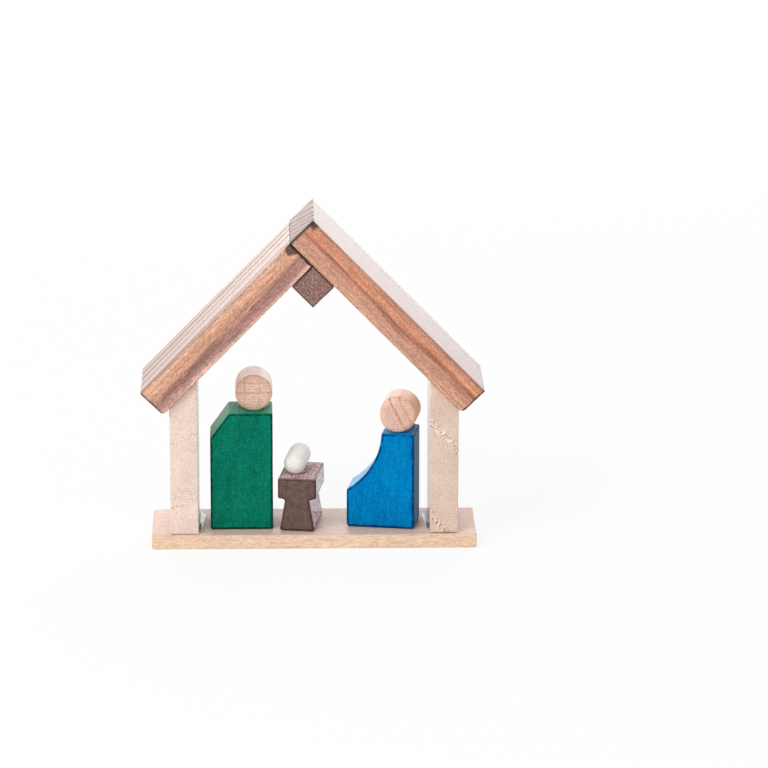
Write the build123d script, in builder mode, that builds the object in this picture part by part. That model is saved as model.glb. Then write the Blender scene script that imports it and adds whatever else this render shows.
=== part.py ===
"""Wooden nativity stable, in millimetres and degrees.

A base plate carries two posts, and the posts carry a roof of two boards with a ridge beam
in its inner corner. These are butt jointed and glued. Three loose groups stand on the base
plate: a standing figure, a manger with an infant, and a kneeling figure. The stable is as
wide as that row needs.

Frame: +X to the right as seen from the front, +Y to the back, +Z up. The origin is the
middle of the base plate's underside.
"""

import os
from math import cos, radians, sin, tan

from build123d import *

os.makedirs("parts", exist_ok=True)

# Base plate
base_depth = 16.0
base_thickness = 2.6
base_end_overhang = 3.25
base_edge_radius = 0.3

# Posts: one bar, cut square at the foot and to the roof's slope at the top
post_width = 5.0
post_height = 27.7
post_setback = 0.55
post_edge_radius = 0.2

# Roof boards: the right board runs up to the ridge, and the left one butts under it
roof_pitch = 45.7
roof_board_thickness = 5.7
right_eaves_overhang = 4.58
left_eaves_overhang = 5.05
gable_overhang = 0.5
ridge_offset = -0.15
eaves_corner_radius = 0.9
roof_edge_radius = 0.25

# Ridge beam: a square rod, set on edge
beam_size = 5.2
beam_setback = 0.2
beam_edge_radius = 0.15

# Clear glue, squeezed out along the inner foot of each post and thinner towards the front
foot_glue_width = 1.1
foot_glue_height = 1.0
foot_glue_back_gap = 3.0
foot_glue_length = 9.0
foot_glue_tip_share = 0.4
foot_glue_hollow_share = 0.38

# Standing figure: a block with one shoulder cut off
standing_width = 11.0
standing_height = 21.1
standing_depth = 8.3
standing_edge_radius = 0.3
shoulder_run = 3.3
shoulder_drop = 4.6
standing_setback = 3.3
standing_turn = -0.3

# Kneeling figure: a block with a scooped lap
kneeling_width = 12.0
kneeling_height = 17.25
kneeling_depth = 7.3
kneeling_edge_radius = 0.4
kneeling_top_width = 5.85
lap_height = 6.8
scoop_radius = 12.8
kneeling_setback = 3.7
kneeling_turn = 9.85

# Heads: slices of one dowel that lie on the bodies, flush at the back, with a flat where they are glued on
head_diameter = 6.5
head_flat_depth = 0.1
standing_head_inset = 3.3
standing_head_setback = 1.9
standing_head_rim_radius = 0.25
kneeling_head_inset = 3.05
kneeling_head_setback = 0.3
kneeling_head_rim_radius = 1.1

# Manger: a trough block on a waisted foot, all one piece
manger_depth = 11.05
trough_width = 6.85
trough_height = 3.95
trough_underside_rise = 0.25
manger_foot_width = 6.3
manger_foot_height = 5.6
waist_width = 4.3
manger_edge_radius = 0.35
manger_setback = 2.05
manger_turn = 8.4

# Infant: a slice of thinner dowel with well rounded ends, glued along the manger, flush at the back
infant_diameter = 3.9
infant_flat_depth = 0.1
infant_inset = 2.65
infant_setback = 2.0
infant_rim_radius = 1.5

# Gaps along the row, from the glue at the left post to the glue at the right post
standing_glue_gap = 0.85
manger_standing_gap = 0.69
manger_kneeling_gap = 3.67
kneeling_glue_gap = 0.33


def left_reach(width, depth, turn):
    """How far a turned block reaches to the left of the middle of its front face."""
    angle = radians(turn)
    return width / 2 * cos(angle) - min(0, depth * sin(angle))


def right_reach(width, depth, turn):
    """How far a turned block reaches to the right of the middle of its front face."""
    angle = radians(turn)
    return width / 2 * cos(angle) + max(0, depth * sin(angle))


# The row across the stable, counted from the inner face of the left post
standing_start = foot_glue_width + standing_glue_gap
standing_across = standing_start + left_reach(standing_width, standing_depth, standing_turn)
standing_end = standing_across + right_reach(standing_width, standing_depth, standing_turn)
manger_across = standing_end + manger_standing_gap + left_reach(trough_width, manger_depth, manger_turn)
manger_end = manger_across + right_reach(trough_width, manger_depth, manger_turn)
kneeling_across = manger_end + manger_kneeling_gap + left_reach(kneeling_width, kneeling_depth, kneeling_turn)
kneeling_end = kneeling_across + right_reach(kneeling_width, kneeling_depth, kneeling_turn)
clear_width = kneeling_end + kneeling_glue_gap + foot_glue_width

# Places that the stable's pieces share
post_inner = clear_width / 2
post_outer = post_inner + post_width
post_depth = base_depth - 2 * post_setback
roof_depth = base_depth + 2 * gable_overhang
beam_length = roof_depth - 2 * beam_setback
base_width = 2 * (post_outer + base_end_overhang)
base_front = -base_depth / 2
base_top = base_thickness
manger_height = manger_foot_height + trough_height

# The roof's section: ways down each slope and through each board, and the corners at the ridge
pitch = radians(roof_pitch)
right_slope = Vector(cos(pitch), -sin(pitch))
left_slope = Vector(-cos(pitch), -sin(pitch))
right_inward = Vector(-sin(pitch), -cos(pitch))
left_inward = Vector(sin(pitch), -cos(pitch))
butt_bottom = Vector(ridge_offset, base_top + post_height + post_inner * tan(pitch))
butt_top = butt_bottom - right_slope * (roof_board_thickness / sin(2 * pitch))
ridge = butt_top - right_inward * roof_board_thickness
right_board_length = (post_outer + right_eaves_overhang - ridge.X) / cos(pitch)
left_board_length = (post_outer + left_eaves_overhang + butt_top.X) / cos(pitch)


def underside_height(x):
    """Height of the roof's underside over a place across the stable."""
    return butt_bottom.Y - abs(x - butt_bottom.X) * tan(pitch)


def front_plane(across, setback, turn):
    """Upright plane on the base plate facing the front, turned clockwise as seen from above."""
    angle = radians(turn)
    return Plane(
        origin=(across - post_inner, base_front + setback, base_top),
        x_dir=(cos(angle), -sin(angle), 0),
        z_dir=(-sin(angle), -cos(angle), 0),
    )


# Base plate
with BuildPart() as base_plate:
    with BuildSketch():
        Rectangle(base_width, base_depth)
    extrude(amount=base_thickness)
    fillet(base_plate.edges(), base_edge_radius)
base_plate.part.label = "base_plate"
export_step(base_plate.part, "parts/base_plate.step")

# Posts
for side, post_name in ((-1, "left_post"), (1, "right_post")):
    with BuildPart() as post:
        with BuildSketch(Plane.XZ.offset(-post_depth / 2)):
            with BuildLine():
                Polyline(
                    (side * post_inner, base_top),
                    (side * post_outer, base_top),
                    (side * post_outer, underside_height(side * post_outer)),
                    (side * post_inner, underside_height(side * post_inner)),
                    close=True,
                )
            make_face()
        extrude(amount=post_depth)
        fillet(post.edges().filter_by(Axis.Z), post_edge_radius)
    post.part.label = post_name
    export_step(post.part, f"parts/{post_name}.step")

# Right roof board
right_eaves_top = ridge + right_slope * right_board_length
right_eaves_bottom = right_eaves_top + right_inward * roof_board_thickness
with BuildPart() as right_roof_board:
    with BuildSketch(Plane.XZ.offset(-roof_depth / 2)) as right_section:
        with BuildLine():
            Polyline(ridge, right_eaves_top, right_eaves_bottom, butt_top, close=True)
        make_face()
        fillet(right_section.vertices().sort_by(Axis.Y)[0], eaves_corner_radius)
    extrude(amount=roof_depth)
    gable_faces = right_roof_board.faces().sort_by(Axis.Y)
    fillet(gable_faces[0].edges() + gable_faces[-1].edges(), roof_edge_radius)
right_roof_board.part.label = "right_roof_board"
export_step(right_roof_board.part, "parts/right_roof_board.step")

# Left roof board
left_eaves_top = butt_top + left_slope * left_board_length
left_eaves_bottom = left_eaves_top + left_inward * roof_board_thickness
with BuildPart() as left_roof_board:
    with BuildSketch(Plane.XZ.offset(-roof_depth / 2)) as left_section:
        with BuildLine():
            Polyline(butt_top, left_eaves_top, left_eaves_bottom, butt_bottom, close=True)
        make_face()
        fillet(left_section.vertices().sort_by(Axis.Y)[0], eaves_corner_radius)
    extrude(amount=roof_depth)
    gable_faces = left_roof_board.faces().sort_by(Axis.Y)
    fillet(gable_faces[0].edges() + gable_faces[-1].edges(), roof_edge_radius)
left_roof_board.part.label = "left_roof_board"
export_step(left_roof_board.part, "parts/left_roof_board.step")

# Ridge beam: lies on the right board's underside, as far up as the left board lets it
corner_angle = radians(180) - 2 * pitch
beam_corner = butt_bottom + right_slope * max(0, beam_size / tan(corner_angle))
with BuildPart() as ridge_beam:
    with BuildSketch(Plane.XZ.offset(-beam_length / 2)):
        with BuildLine():
            Polyline(
                beam_corner,
                beam_corner + right_slope * beam_size,
                beam_corner + right_slope * beam_size + right_inward * beam_size,
                beam_corner + right_inward * beam_size,
                close=True,
            )
        make_face()
    extrude(amount=beam_length)
    fillet(ridge_beam.edges().filter_by(Axis.Y), beam_edge_radius)
ridge_beam.part.label = "ridge_beam"
export_step(ridge_beam.part, "parts/ridge_beam.step")

# Glue at the posts' feet: a hollow fillet that starts near the back of the post and runs to the front
for side, glue_name in ((-1, "left_foot_glue"), (1, "right_foot_glue")):
    with BuildPart() as foot_glue:
        for size_share, forward in ((1, 0), (foot_glue_tip_share, foot_glue_length)):
            foot = Vector(side * post_inner, base_top)
            run = Vector(-side * foot_glue_width * size_share, 0)
            rise = Vector(0, foot_glue_height * size_share)
            with BuildSketch(Plane.XZ.offset(forward + foot_glue_back_gap - post_depth / 2)):
                with BuildLine():
                    Line(foot, foot + run)
                    ThreePointArc(foot + run, foot + (run + rise) * foot_glue_hollow_share, foot + rise)
                    Line(foot + rise, foot)
                make_face()
        loft()
    foot_glue.part.label = glue_name
    export_step(foot_glue.part, f"parts/{glue_name}.step")

# Standing figure's body
standing_plane = front_plane(standing_across, standing_setback, standing_turn)
with BuildPart() as standing_figure_body:
    with BuildSketch(standing_plane):
        with BuildLine():
            Polyline(
                (-standing_width / 2, 0),
                (standing_width / 2, 0),
                (standing_width / 2, standing_height),
                (-standing_width / 2 + shoulder_run, standing_height),
                (-standing_width / 2, standing_height - shoulder_drop),
                close=True,
            )
        make_face()
    extrude(amount=-standing_depth)
    fillet(standing_figure_body.edges(), standing_edge_radius)
standing_figure_body.part.label = "standing_figure_body"
export_step(standing_figure_body.part, "parts/standing_figure_body.step")

# Kneeling figure's body
kneeling_plane = front_plane(kneeling_across, kneeling_setback, kneeling_turn)
scoop_top = (kneeling_width / 2 - kneeling_top_width, kneeling_height)
scoop_end = (-kneeling_width / 2, lap_height)
with BuildPart() as kneeling_figure_body:
    with BuildSketch(kneeling_plane):
        with BuildLine():
            Polyline(
                scoop_end,
                (-kneeling_width / 2, 0),
                (kneeling_width / 2, 0),
                (kneeling_width / 2, kneeling_height),
                scoop_top,
            )
            RadiusArc(scoop_top, scoop_end, scoop_radius)
        make_face()
    extrude(amount=-kneeling_depth)
    fillet(kneeling_figure_body.edges(), kneeling_edge_radius)
kneeling_figure_body.part.label = "kneeling_figure_body"
export_step(kneeling_figure_body.part, "parts/kneeling_figure_body.step")

# Manger
manger_plane = front_plane(manger_across, manger_setback, manger_turn)
with BuildPart() as manger:
    with BuildSketch(manger_plane):
        with BuildLine():
            Polyline(
                (0, 0),
                (manger_foot_width / 2, 0),
                (waist_width / 2, manger_foot_height),
                (trough_width / 2, manger_foot_height + trough_underside_rise),
                (trough_width / 2, manger_height),
                (0, manger_height),
            )
            mirror(about=Plane.YZ)
        make_face()
    extrude(amount=-manger_depth)
    fillet(manger.edges(), manger_edge_radius)
manger.part.label = "manger"
export_step(manger.part, "parts/manger.step")

# Heads and infant: dowel slices that lie on the blocks, end grain to the front
for slice_name, block, across, seat, setback, length, diameter, flat_depth, rim_radius in (
    (
        "standing_figure_head",
        standing_plane,
        standing_width / 2 - standing_head_inset,
        standing_height,
        standing_head_setback,
        standing_depth - standing_head_setback,
        head_diameter,
        head_flat_depth,
        standing_head_rim_radius,
    ),
    (
        "kneeling_figure_head",
        kneeling_plane,
        kneeling_width / 2 - kneeling_head_inset,
        kneeling_height,
        kneeling_head_setback,
        kneeling_depth - kneeling_head_setback,
        head_diameter,
        head_flat_depth,
        kneeling_head_rim_radius,
    ),
    (
        "infant",
        manger_plane,
        infant_inset - trough_width / 2,
        manger_height,
        infant_setback,
        manger_depth - infant_setback,
        infant_diameter,
        infant_flat_depth,
        infant_rim_radius,
    ),
):
    middle_height = seat + diameter / 2 - flat_depth
    face_middle = block.from_local_coords((across, middle_height, -setback))
    with BuildPart() as dowel_slice:
        with BuildSketch(Plane(origin=face_middle, x_dir=block.x_dir, z_dir=block.z_dir)):
            Circle(diameter / 2)
        extrude(amount=-length)
        fillet(dowel_slice.edges().filter_by(GeomType.CIRCLE), rim_radius)
        split(bisect_by=Plane.XY.offset(base_top + seat), keep=Keep.TOP)
    dowel_slice.part.label = slice_name
    export_step(dowel_slice.part, f"parts/{slice_name}.step")
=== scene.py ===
"""Looks of the wooden nativity stable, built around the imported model.

Lengths are in millimetres, and MM turns them into metres where Blender takes them.
Frame: +X to the right as seen from the front, +Y to the back, +Z up.
"""

import math
import random

import bpy
import numpy as np
from mathutils import Matrix, Vector
from mathutils.geometry import delaunay_2d_cdt


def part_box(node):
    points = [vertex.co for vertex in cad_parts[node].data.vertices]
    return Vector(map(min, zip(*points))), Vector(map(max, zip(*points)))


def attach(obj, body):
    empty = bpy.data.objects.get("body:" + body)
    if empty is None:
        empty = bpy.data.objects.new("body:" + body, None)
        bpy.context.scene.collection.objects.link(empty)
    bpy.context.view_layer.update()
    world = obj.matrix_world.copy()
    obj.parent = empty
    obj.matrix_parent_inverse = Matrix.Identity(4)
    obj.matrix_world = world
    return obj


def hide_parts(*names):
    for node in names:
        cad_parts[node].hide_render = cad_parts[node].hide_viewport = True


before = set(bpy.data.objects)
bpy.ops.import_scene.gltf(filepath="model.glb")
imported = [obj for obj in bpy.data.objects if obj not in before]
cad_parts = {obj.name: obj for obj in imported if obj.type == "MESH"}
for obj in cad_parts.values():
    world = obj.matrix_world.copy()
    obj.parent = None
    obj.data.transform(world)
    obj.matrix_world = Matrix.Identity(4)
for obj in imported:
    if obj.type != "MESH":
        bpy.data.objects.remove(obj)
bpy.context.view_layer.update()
scene = bpy.context.scene
scene.view_settings.view_transform = "Standard"

MM = 0.001
ACROSS = Vector((1, 0, 0))
BACK = Vector((0, 1, 0))
UP = Vector((0, 0, 1))

# Sizes of the stable
BASE_TOP = 2.6
BASE_DEPTH = 16.0
POST_DEPTH = 14.9
ROOF_DEPTH = 17.0
ROOF_PITCH = math.radians(45.7)
BOARD_THICKNESS = 5.7
RIDGE_OFFSET = -0.15
BEAM_LENGTH = 16.6
BEAM_SIZE = 5.2

# The roof's section: ways down each slope and through each board, and its corners
RIGHT_SLOPE = Vector((math.cos(ROOF_PITCH), -math.sin(ROOF_PITCH)))
LEFT_SLOPE = Vector((-RIGHT_SLOPE.x, RIGHT_SLOPE.y))
RIGHT_INWARD = Vector((RIGHT_SLOPE.y, -RIGHT_SLOPE.x))
LEFT_INWARD = Vector((-RIGHT_INWARD.x, RIGHT_INWARD.y))
BUTT_LENGTH = BOARD_THICKNESS / math.sin(2 * ROOF_PITCH)
RIDGE_ACROSS = RIDGE_OFFSET - RIGHT_SLOPE.x * BUTT_LENGTH - RIGHT_INWARD.x * BOARD_THICKNESS
RIDGE = Vector((RIDGE_ACROSS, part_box("right_roof_board")[1].z / MM))
BUTT_TOP = RIDGE + RIGHT_INWARD * BOARD_THICKNESS
BUTT_BOTTOM = BUTT_TOP + RIGHT_SLOPE * BUTT_LENGTH
RIGHT_BOARD_LENGTH = (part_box("right_roof_board")[1].x / MM - RIDGE.x) / RIGHT_SLOPE.x
LEFT_BOARD_LENGTH = (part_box("left_roof_board")[0].x / MM - BUTT_TOP.x) / LEFT_SLOPE.x
RIGHT_EAVES = RIDGE + RIGHT_SLOPE * RIGHT_BOARD_LENGTH
LEFT_EAVES = BUTT_TOP + LEFT_SLOPE * LEFT_BOARD_LENGTH

# Sizes and places of the figures: middle of the front at the foot, and the turn seen from above
STANDING_WIDTH, STANDING_HEIGHT, STANDING_DEPTH = 11.0, 21.1, 8.3
STANDING_FOOT = (-12.63, -4.70)
STANDING_TURN = -0.3
SHOULDER_RUN, SHOULDER_DROP = 3.3, 4.6
KNEELING_WIDTH, KNEELING_HEIGHT, KNEELING_DEPTH = 12.0, 17.25, 7.3
KNEELING_FOOT = (11.53, -4.30)
KNEELING_TURN = 9.85
KNEELING_TOP_WIDTH, LAP_HEIGHT, SCOOP_RADIUS = 5.85, 6.8, 12.8
HEAD_RADIUS = 3.25
KNEELING_HEAD_RADIUS = HEAD_RADIUS * 1.01
STANDING_HEAD_ACROSS, STANDING_HEAD_SETBACK = 2.2, 1.9
KNEELING_HEAD_ACROSS, KNEELING_HEAD_SETBACK = 2.95, 0.3
SEAT_FLAT = 0.1
MANGER_DEPTH, MANGER_HEIGHT = 11.05, 9.55
MANGER_FOOT = (-3.05, -5.95)
MANGER_TURN = 8.4
FOOT_HALF_WIDTH, WAIST_HALF_WIDTH, TROUGH_HALF_WIDTH = 3.15, 2.15, 3.425
WAIST_HEIGHT, TROUGH_LOW = 5.6, 5.85
INFANT_RADIUS, INFANT_ACROSS, INFANT_SETBACK = 1.95, -0.775, 2.0

# Worn edges: radius of each outline's corners, and of the rims front and back
BASE_FOOT_ROUND, BASE_TOP_ROUND, BASE_RIM = 0.3, 0.32, 0.28
POST_ROUND, POST_RIM = 0.1, 0.2
EAVES_UNDER_ROUND, EAVES_TOP_ROUND, RIDGE_ROUND = 0.9, 0.3, 0.12
BUTT_TOP_ROUND, BUTT_BOTTOM_ROUND, ROOF_RIM = 0.1, 0.25, 0.3
BEAM_ROUND, BEAM_RIM = 0.15, 0.12
STANDING_ROUND, SHOULDER_ROUND, STANDING_RIM = 0.35, 0.6, 0.3
KNEELING_ROUND, SCOOP_ROUND, LAP_ROUND, KNEELING_RIM = 0.4, 0.35, 0.6, 0.34
MANGER_ROUND, WAIST_ROUND, MANGER_RIM = 0.35, 0.3, 0.32
STANDING_HEAD_RIM, KNEELING_HEAD_RIM, INFANT_RIM = 0.25, 1.1, 1.5


def tone(red, green, blue):
    """A colour given as it looks on a screen, from 0 to 255, for a shader."""
    shares = [level / 255 for level in (red, green, blue)]
    return [s / 12.92 if s < 0.04045 else ((s + 0.055) / 1.055) ** 2.4 for s in shares] + [1.0]


class Nodes:
    """Short calls that add nodes to a tree. A value may be a number, a colour, a vector or a socket."""

    def __init__(self, tree):
        self.tree = tree

    def feed(self, socket, value):
        if isinstance(value, bpy.types.NodeSocket):
            self.tree.links.new(value, socket)
        else:
            socket.default_value = value

    def add(self, kind, settings=None, **inputs):
        made = self.tree.nodes.new(kind)
        for key, value in (settings or {}).items():
            setattr(made, key, value)
        for key, value in inputs.items():
            self.feed(made.inputs[key], value)
        return made

    def sum(self, operation, *values):
        made = self.add("ShaderNodeMath", {"operation": operation})
        for socket, value in zip(made.inputs, values):
            self.feed(socket, value)
        return made.outputs[0]

    def times(self, *values):
        result = values[0]
        for value in values[1:]:
            result = self.sum("MULTIPLY", result, value)
        return result

    def rest(self, share):
        """What a share leaves of 1."""
        return self.sum("SUBTRACT", 1.0, share)

    def vector(self, operation, *values):
        made = self.add("ShaderNodeVectorMath", {"operation": operation})
        for socket, value in zip(made.inputs, values):
            self.feed(socket, value)
        return made

    def dot(self, place, way):
        return self.vector("DOT_PRODUCT", place, way).outputs["Value"]

    def scaled(self, place, scale):
        made = self.vector("SCALE", place)
        self.feed(made.inputs["Scale"], scale)
        return made.outputs["Vector"]

    def noise(self, place, scale, detail=2.0, roughness=0.5):
        made = self.add("ShaderNodeTexNoise", Vector=place, Scale=scale, Detail=detail, Roughness=roughness)
        return made.outputs[0]

    def line_noise(self, along, detail=2.0, roughness=0.55):
        made = self.add("ShaderNodeTexNoise", {"noise_dimensions": "1D"}, W=along, Scale=1.0, Detail=detail)
        self.feed(made.inputs["Roughness"], roughness)
        return made.outputs[0]

    def rise(self, value, low, high):
        """0 below low, 1 above high, and smooth between; falling where low is the higher."""
        made = self.add("ShaderNodeMapRange", {"interpolation_type": "SMOOTHSTEP"}, Value=value)
        self.feed(made.inputs["From Min"], low)
        self.feed(made.inputs["From Max"], high)
        return made.outputs[0]


class Finish(Nodes):
    """A finish on one piece. Its patterns read the piece's own place, in millimetres."""

    def __init__(self, name):
        self.material = bpy.data.materials.new(name)
        self.material.use_nodes = True
        super().__init__(self.material.node_tree)
        self.shader = self.tree.nodes["Principled BSDF"]
        self.place = self.scaled(self.add("ShaderNodeTexCoord").outputs["Object"], 1 / MM)

    def set(self, **levels):
        for key, value in levels.items():
            self.feed(self.shader.inputs[key.replace("_", " ")], value)

    def mark(self, name):
        return self.add("ShaderNodeAttribute", {"attribute_name": name}).outputs["Fac"]

    def stretched(self, fibre, stretch, seed=0.0):
        """Places drawn together along the fibre, so that a noise there runs out into streaks."""
        fibre = Vector(fibre).normalized()
        along = self.dot(self.place, fibre)
        shift = self.scaled(tuple(fibre), self.sum("MULTIPLY", along, stretch - 1))
        drawn = self.vector("ADD", self.place, shift).outputs[0]
        return self.vector("ADD", drawn, (seed, seed, seed)).outputs[0]

    def out_and_up(self, middle, across):
        """How far places lie out from a middle along the way across, and up from it."""
        from_middle = self.vector("SUBTRACT", self.place, tuple(middle)).outputs[0]
        return self.dot(from_middle, tuple(across)), self.dot(from_middle, UP)

    def mix(self, first, second, share):
        made = self.add("ShaderNodeMix", {"data_type": "RGBA"})
        for index, value in ((0, share), (6, first), (7, second)):
            self.feed(made.inputs[index], value)
        return made.outputs[2]

    def ramp(self, value, *stops):
        made = self.add("ShaderNodeValToRGB", Fac=value)
        elements = made.color_ramp.elements
        while len(elements) < len(stops):
            elements.new(1.0)
        for element, (at, colour) in zip(elements, stops):
            element.position = at
            element.color = colour
        return made.outputs[0]

    def speckle(self, place, scale, spread=0.17):
        """Fine spots, as a value spread over 0 to 1."""
        return self.rise(self.noise(place, scale, 4.0, 0.8), 0.5 - spread, 0.5 + spread)

    def toned(self, colour, value, share):
        """A colour made darker and lighter by a value that lies around a half."""
        return self.scaled(colour, self.sum("MULTIPLY_ADD", value, 2 * share, 1 - share))

    def stroke(self, value, at, half_width, core=0.3):
        """1 where a value is as given, out to a core's share, and 0 from half a stroke's width on."""
        away = self.sum("ABSOLUTE", self.sum("SUBTRACT", value, at))
        return self.rise(away, half_width, half_width * core)

    def lines(self, level, rows, core=0.0):
        """The strongest of strokes at given levels, each with its half width and share."""
        strongest = 0.0
        for at, half_width, share in rows:
            line = self.times(self.stroke(level, at, half_width, core), share)
            strongest = self.sum("MAXIMUM", strongest, line)
        return strongest

    def blot(self, centre, radius):
        """1 around a place given in millimetres, and 0 from a ragged radius on."""
        away = self.vector("DISTANCE", self.place, centre).outputs["Value"]
        ragged = self.sum("MULTIPLY_ADD", self.noise(self.place, 1.6, 3.0, 0.6), radius, -radius / 2)
        return self.rise(self.sum("ADD", away, ragged), radius, radius * 0.5)

    def relief(self, height, depth, strength=1.0):
        bump = self.add("ShaderNodeBump", Height=height, Strength=strength, Distance=depth * MM)
        self.set(Normal=bump.outputs[0])


# Finishes


def base_finish():
    """Pale uncoated wood with its grain along the plate, its top painted paler and greyer as a painted
    sheen.
    """
    fin = Finish("pale_base_wood")
    top = fin.rise(fin.dot(fin.place, UP), BASE_TOP - 0.25, BASE_TOP - 0.05)
    cloud = fin.noise(fin.stretched(ACROSS, 0.15), 0.5)
    colour = fin.ramp(cloud, (0.3, tone(236, 202, 172)), (0.7, tone(244, 214, 187)))
    # Painted sheen: the top is mixed towards a paler, greyer tone, the way a grazing reflection shows it.
    colour = fin.mix(colour, tone(224, 200, 188), fin.times(top, 0.75))
    fibres = fin.noise(fin.stretched(ACROSS, 0.05), 3.6, 4.0, 0.7)
    colour = fin.mix(colour, tone(206, 152, 116), fin.times(fin.rise(fibres, 0.5, 0.72), 0.45))
    colour = fin.toned(colour, fin.speckle(fin.stretched(ACROSS, 0.3), 3.6), 0.18)
    fin.set(Base_Color=colour, Roughness=0.5, Specular_IOR_Level=0.3)
    fin.relief(fibres, 0.03)
    return fin.material


def post_finish(name, deep, light, slant, rows, grit, seed):
    """Pale wood cut across its fibres, so that rows of open pores cross the front on a slant, with painted
    highlights around the pores.
    """
    fin = Finish(name)
    across = Vector((math.sin(math.radians(slant)), 0, math.cos(math.radians(slant))))
    seeded = fin.stretched(BACK, 0.05, seed)
    colour = fin.ramp(fin.noise(seeded, 0.22), (0.3, deep), (0.7, light))
    colour = fin.toned(colour, fin.speckle(seeded, 3.6), grit)
    colour = fin.toned(colour, fin.speckle(seeded, 1.8), 0.04)
    sway = fin.times(fin.sum("SUBTRACT", fin.noise(seeded, 0.3), 0.5), 0.8)
    level = fin.sum("ADD", fin.dot(fin.place, across), sway)
    cells = fin.add("ShaderNodeTexVoronoi", Vector=seeded, Scale=2.9, Randomness=0.9)
    dots = fin.rise(cells.outputs["Distance"], 0.44, 0.18)
    bright = fin.rise(cells.outputs["Distance"], 0.5, 0.75)
    row = fin.lines(level, rows, core=0.3)
    # Painted highlights: near-white between the pore dots in each row.
    colour = fin.mix(colour, tone(255, 244, 232), fin.times(row, bright, 0.75))
    colour = fin.mix(colour, tone(184, 116, 76), fin.times(row, dots))
    fin.set(Base_Color=colour, Roughness=0.5, Specular_IOR_Level=0.2)
    fin.set(Coat_Weight=fin.mark("side"), Coat_Roughness=0.2, Coat_IOR=1.3)
    fin.relief(fin.times(row, dots), -0.05)
    return fin.material


# Growth rings of the roof boards: how far apart they groove the wood, and how they drift back down a slope
RING_GAP, RING_WANDER, RING_DRIFT = 2.1, 0.0, 0.04

# Rings of the right board at its ridge, and how far back they run for each millimetre through the board
END_LEVELS = (-14.7, -12.1, -9.5, -6.9, -4.3, -1.7, 1.9, 6.3)
END_RINGS = tuple((at, 0.9, 1.0) for at in END_LEVELS)
END_SLANT = 1.2
# The end's pale and lined colours are painted glare over dark brown end grain; its front stays dark.
END_PALE_GLARE, END_LINED_GLARE, END_FRONT = tone(186, 160, 150), tone(136, 110, 106), tone(72, 52, 50)


def roof_front(fin, through, slope, drawn, bands, patch):
    """Bands of brown through a board, with dark patches, streaks and pores along the slope."""
    sway = fin.sum("MULTIPLY_ADD", fin.noise(drawn, 0.5, 3.0, 0.6), 0.4, -0.2)
    colour = fin.ramp(fin.sum("ADD", through, sway), *bands)
    dark_at, dark_share = patch
    patches = fin.rise(fin.noise(fin.stretched(slope, 0.2), 0.6, 3.0, 0.6), 0.46, 0.62)
    patches = fin.times(patches, fin.stroke(through, dark_at, 0.3))
    colour = fin.mix(colour, tone(112, 76, 78), fin.times(patches, dark_share))
    streaks = fin.noise(drawn, 2.0, 3.0, 0.65)
    colour = fin.toned(colour, fin.rise(streaks, 0.68, 0.32), 0.2)
    spots = fin.speckle(fin.stretched(slope, 0.35), 5.2)
    colour = fin.toned(colour, spots, 0.34)
    pores = fin.rise(fin.noise(fin.stretched(slope, 0.35), 4.4, 2.0, 0.6), 0.6, 0.7)
    return fin.mix(colour, tone(96, 60, 52), fin.times(pores, 0.5)), spots


def roof_top(fin, along, drawn, colours, rings):
    """A board's top face, with its growth rings on edge."""
    level = fin.sum("MULTIPLY_ADD", along, RING_DRIFT, fin.dot(fin.place, BACK))
    level = fin.sum("ADD", level, fin.sum("MULTIPLY_ADD", fin.noise(drawn, 0.5), 0.8, -0.4))
    ring = fin.lines(level, rings)
    pale, lined = colours
    colour = fin.mix(pale, lined, ring)
    return fin.toned(colour, fin.noise(drawn, 1.3, 3.0, 0.7), 0.16), ring


def roof_end(fin, through, inward):
    """The sawn end at the ridge: rings on a slant, pale with a painted glare over dark end grain, and dark
    towards the front.
    """
    back = fin.dot(fin.place, BACK)
    slanted = fin.sum("MULTIPLY_ADD", through, -END_SLANT * BOARD_THICKNESS, back)
    ring = fin.lines(slanted, END_RINGS)
    colour = fin.mix(END_PALE_GLARE, END_LINED_GLARE, ring)
    colour = fin.toned(colour, fin.speckle(fin.stretched(inward, 0.3), 2.6), 0.12)
    return fin.mix(colour, END_FRONT, fin.times(fin.rise(back, -6.4, -8.4), 0.95)), ring


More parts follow.
